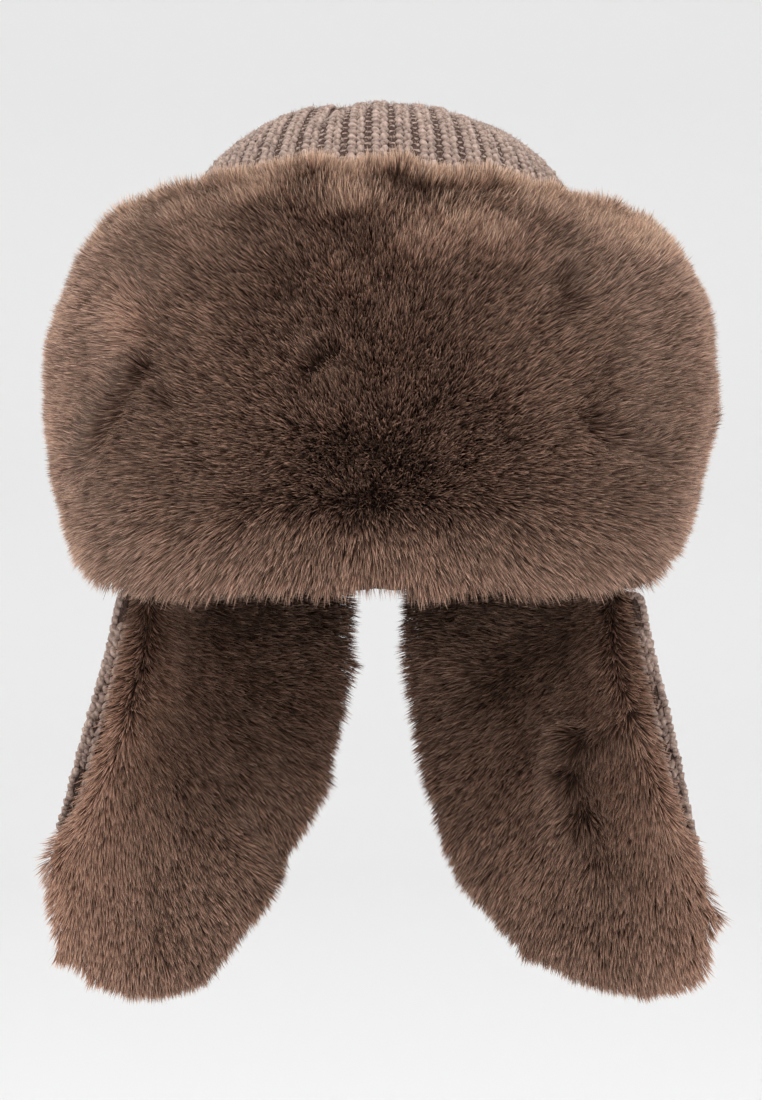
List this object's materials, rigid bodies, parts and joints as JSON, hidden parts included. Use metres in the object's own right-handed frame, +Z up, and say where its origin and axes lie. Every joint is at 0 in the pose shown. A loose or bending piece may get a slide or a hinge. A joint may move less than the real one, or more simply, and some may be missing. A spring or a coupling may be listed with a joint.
{
  "type": "knitted aviator hat",
  "caption": "Rib-knit winter hat with a deep-pile band turned up over the forehead and two long pile-faced ear flaps.",
  "frame": {"origin": "centre of the head opening, at the height of the rim over the brow", "axes": "+Z up through the crown, -Y towards the wearer's face, +X to the right of the picture"},
  "size_m": [0.2981, 0.2576, 0.3794],
  "materials": {
    "knit": "chunky rib knit in taupe yarn",
    "fur": "deep brown pile with paler taupe tips"
  },
  "bodies": {
    "root": {"crown": "knit", "front_band": "fur", "flap_knit_left": "knit", "flap_knit_right": "knit", "flap_fur_left": "fur", "flap_fur_right": "fur"}
  },
  "joints": []
}
